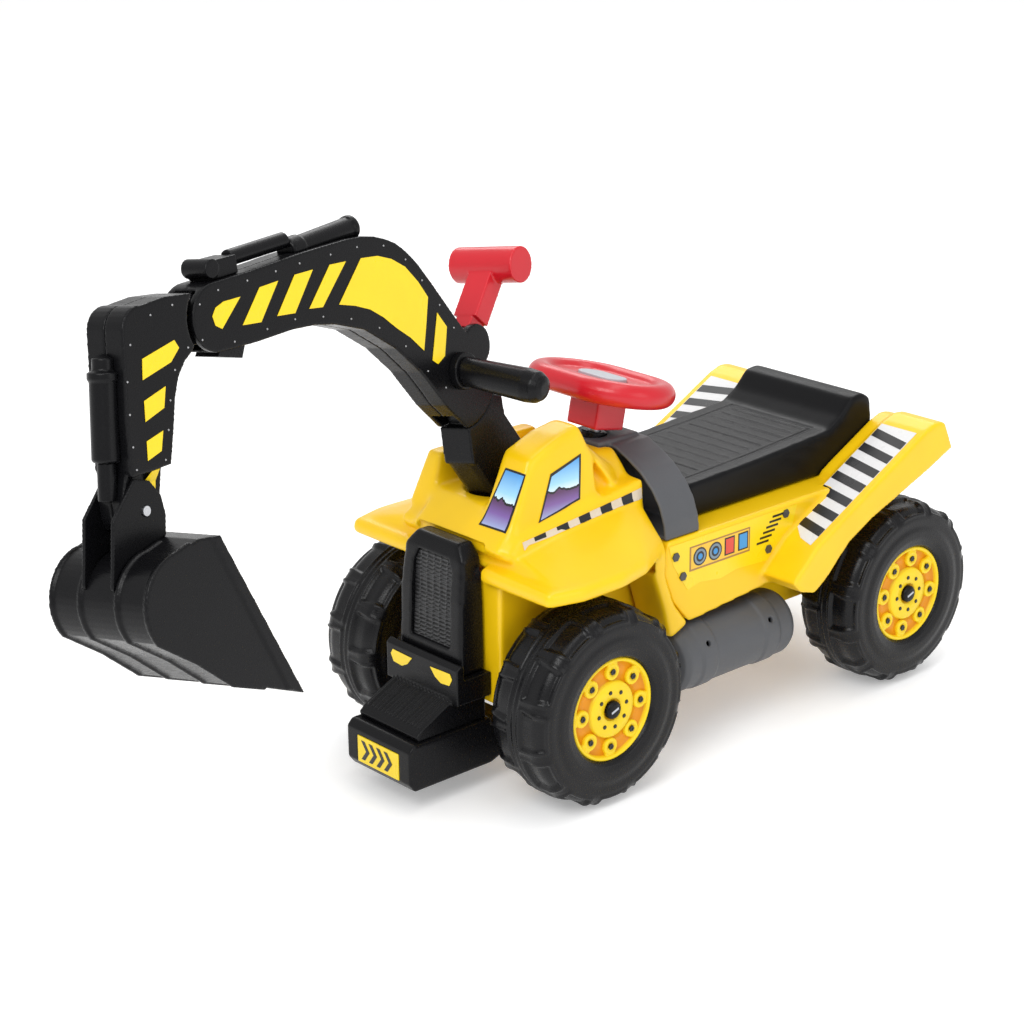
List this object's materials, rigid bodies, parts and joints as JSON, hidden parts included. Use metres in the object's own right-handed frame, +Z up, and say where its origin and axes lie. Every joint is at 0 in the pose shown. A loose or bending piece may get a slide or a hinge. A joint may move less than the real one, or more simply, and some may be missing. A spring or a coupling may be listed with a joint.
{
  "type": "ride-on toy digger",
  "caption": "Child ride-on digger: a yellow body on moulded wheels with a seat, a steering wheel and a lever-worked digging arm on a swivel.",
  "frame": {"origin": "on the ground, under the middle of the whole machine with its arm", "axes": "+Z up, -Y the front where the arm reaches, +X the rider's left"},
  "size_m": [0.318, 1.0238, 0.5521],
  "materials": {
    "yellow_plastic": "moulded, satin gloss",
    "black_plastic": "moulded, gloss",
    "tyre_plastic": "blown hard plastic, gloss",
    "grey_plastic": "moulded, satin",
    "red_plastic": "moulded, gloss",
    "pale_plastic": "moulded, satin",
    "steel": "zinc plated",
    "printed_film": "printed label film"
  },
  "bodies": {
    "chassis": {"body_shell": "yellow_plastic", "hood_shell": "yellow_plastic", "dash_cowl": "grey_plastic", "seat": "black_plastic", "grille_panel": "black_plastic", "grille_mesh": "black_plastic", "step_ramp": "black_plastic", "front_bumper": "black_plastic", "bumper_label": "printed_film", "left_tank": "grey_plastic", "right_tank": "grey_plastic", "front_axle": "steel", "rear_axle": "steel", "axle_caps": "black_plastic", "swivel_socket": "black_plastic", "column_bush": "black_plastic", "body_screws": "steel"},
    "front_left_wheel": {"front_left_tyre": "tyre_plastic", "front_left_hub": "yellow_plastic"},
    "front_right_wheel": {"front_right_tyre": "tyre_plastic", "front_right_hub": "yellow_plastic"},
    "rear_left_wheel": {"rear_left_tyre": "tyre_plastic", "rear_left_hub": "yellow_plastic"},
    "rear_right_wheel": {"rear_right_tyre": "tyre_plastic", "rear_right_hub": "yellow_plastic"},
    "steering": {"steering_wheel": "red_plastic", "steering_column": "steel", "horn_spring": "steel"},
    "horn": {"horn_button": "pale_plastic"},
    "swivel": {"boom_base": "black_plastic", "post_clip": "steel"},
    "boom": {"hinge_pin": "steel", "boom_left_shell": "black_plastic", "boom_right_shell": "black_plastic", "boom_cylinder": "black_plastic", "boom_piston_rod": "black_plastic", "boom_knuckle": "black_plastic", "tip_stop": "black_plastic", "elbow_pin": "steel", "side_handle": "black_plastic", "handle_collar": "black_plastic", "boom_screws": "steel", "lever_pin": "steel"},
    "lever": {"red_lever": "red_plastic", "lever_hub": "black_plastic", "crank_pins": "steel"},
    "link": {"pull_rod": "steel"},
    "stick": {"stick_left_shell": "black_plastic", "stick_right_shell": "black_plastic", "stick_cylinder": "black_plastic", "stick_piston_rod": "black_plastic", "stick_screws": "steel", "stick_link_pin": "steel", "bucket_pin": "steel"},
    "bucket": {"bucket": "black_plastic", "bucket_fins": "black_plastic"}
  },
  "joints": [
    {"name": "front_left_wheel_spin", "type": "hinge", "parent": "chassis", "child": "front_left_wheel", "pos_m": [0.121, -0.0031, 0.095], "axis": [1, 0, 0], "continuous": true},
    {"name": "front_right_wheel_spin", "type": "hinge", "parent": "chassis", "child": "front_right_wheel", "pos_m": [-0.121, -0.0031, 0.095], "axis": [1, 0, 0], "continuous": true},
    {"name": "rear_left_wheel_spin", "type": "hinge", "parent": "chassis", "child": "rear_left_wheel", "pos_m": [0.121, 0.4169, 0.095], "axis": [1, 0, 0], "continuous": true},
    {"name": "rear_right_wheel_spin", "type": "hinge", "parent": "chassis", "child": "rear_right_wheel", "pos_m": [-0.121, 0.4169, 0.095], "axis": [1, 0, 0], "continuous": true},
    {"name": "steering_turn", "type": "hinge", "parent": "chassis", "child": "steering", "pos_m": [0, 0.1279, 0.337], "axis": [0, 0.2079, 0.9781], "range_deg": [-120, 120]},
    {"name": "horn_press", "type": "slide", "parent": "steering", "child": "horn", "axis": [0, -0.2079, -0.9781], "range_m": [0, 0.003], "stiffness_N_per_m": 400, "springref_m": -0.0005},
    {"name": "arm_swing", "type": "hinge", "parent": "chassis", "child": "swivel", "pos_m": [-0.012, 0.0139, 0.273], "axis": [0, -0.5736, 0.8192], "range_deg": [-70, 40]},
    {"name": "boom_lift", "type": "hinge", "parent": "swivel", "child": "boom", "pos_m": [-0.01552, -0.05248, 0.39073], "axis": [0.9659, 0.212, 0.1485], "range_deg": [-12, 20]},
    {"name": "stick_tilt", "type": "hinge", "parent": "boom", "child": "stick", "pos_m": [0.03154, -0.3464, 0.50429], "axis": [0.9659, 0.212, 0.1485], "range_deg": [-12, 28]},
    {"name": "lever_pull", "type": "hinge", "parent": "boom", "child": "lever", "pos_m": [-0.0242, -0.02442, 0.40708], "axis": [0.9659, 0.212, 0.1485], "range_deg": [-12, 28]},
    {"name": "link_tilt", "type": "hinge", "parent": "lever", "child": "link", "pos_m": [-0.02526, -0.03003, 0.422], "axis": [0.9659, 0.212, 0.1485], "range_deg": [-28, 12]},
    {"name": "bucket_curl", "type": "hinge", "parent": "stick", "child": "bucket", "pos_m": [0.07416, -0.45181, 0.37751], "axis": [0.9659, 0.212, 0.1485], "range_deg": [-40, 32]}
  ],
  "couplings": [
    {"joint": "lever_pull", "follows": "stick_tilt", "ratio": 1},
    {"joint": "link_tilt", "follows": "stick_tilt", "ratio": -1}
  ]
}
